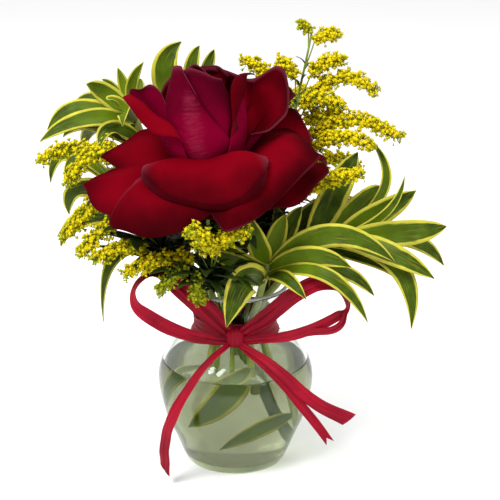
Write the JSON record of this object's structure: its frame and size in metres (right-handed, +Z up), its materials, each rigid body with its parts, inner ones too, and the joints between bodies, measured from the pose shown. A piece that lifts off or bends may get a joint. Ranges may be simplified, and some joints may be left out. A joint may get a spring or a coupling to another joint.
{
  "type": "rose in a bud vase",
  "caption": "Open red rose with goldenrod and striped dracaena leaves in a small round-bellied glass vase with water, tied at the neck with a red ribbon bow.",
  "frame": {"origin": "centre of the vase's flat foot, on the surface that it stands on", "axes": "+Z up along the vase's axis, -Y towards the front where the bow is, +X to the viewer's right"},
  "size_m": [0.2187, 0.1619, 0.2372],
  "materials": {
    "glass": "clear gloss",
    "water": "clear",
    "petal": "velvety",
    "stem": "satin",
    "dracaena": "satin, yellow margins",
    "stalk": "matte",
    "goldenrod": "matte",
    "ribbon": "matte, creased"
  },
  "bodies": {
    "root": {"dracaena_back": "dracaena", "dracaena_front_right": "dracaena", "dracaena_left": "dracaena", "dracaena_low_left": "dracaena", "dracaena_right": "dracaena", "goldenrod_front_plume_1": "goldenrod", "goldenrod_front_plume_2": "goldenrod", "goldenrod_front_plume_3": "goldenrod", "goldenrod_front_plume_4": "goldenrod", "goldenrod_front_plume_5": "goldenrod", "goldenrod_front_plume_6": "goldenrod", "goldenrod_front_stalk": "stalk", "goldenrod_left_plume_1": "goldenrod", "goldenrod_left_plume_2": "goldenrod", "goldenrod_left_plume_3": "goldenrod", "goldenrod_left_plume_4": "goldenrod", "goldenrod_left_plume_5": "goldenrod", "goldenrod_left_plume_6": "goldenrod", "goldenrod_left_plume_7": "goldenrod", "goldenrod_left_stalk": "stalk", "goldenrod_right_plume_1": "goldenrod", "goldenrod_right_plume_10": "goldenrod", "goldenrod_right_plume_11": "goldenrod", "goldenrod_right_plume_12": "goldenrod", "goldenrod_right_plume_13": "goldenrod", "goldenrod_right_plume_14": "goldenrod", "goldenrod_right_plume_15": "goldenrod", "goldenrod_right_plume_2": "goldenrod", "goldenrod_right_plume_3": "goldenrod", "goldenrod_right_plume_4": "goldenrod", "goldenrod_right_plume_5": "goldenrod", "goldenrod_right_plume_6": "goldenrod", "goldenrod_right_plume_7": "goldenrod", "goldenrod_right_plume_8": "goldenrod", "goldenrod_right_plume_9": "goldenrod", "goldenrod_right_stalk": "stalk", "ribbon": "ribbon", "rose_bloom": "petal", "rose_stem": "stem", "vase": "glass", "water": "water"}
  },
  "joints": []
}
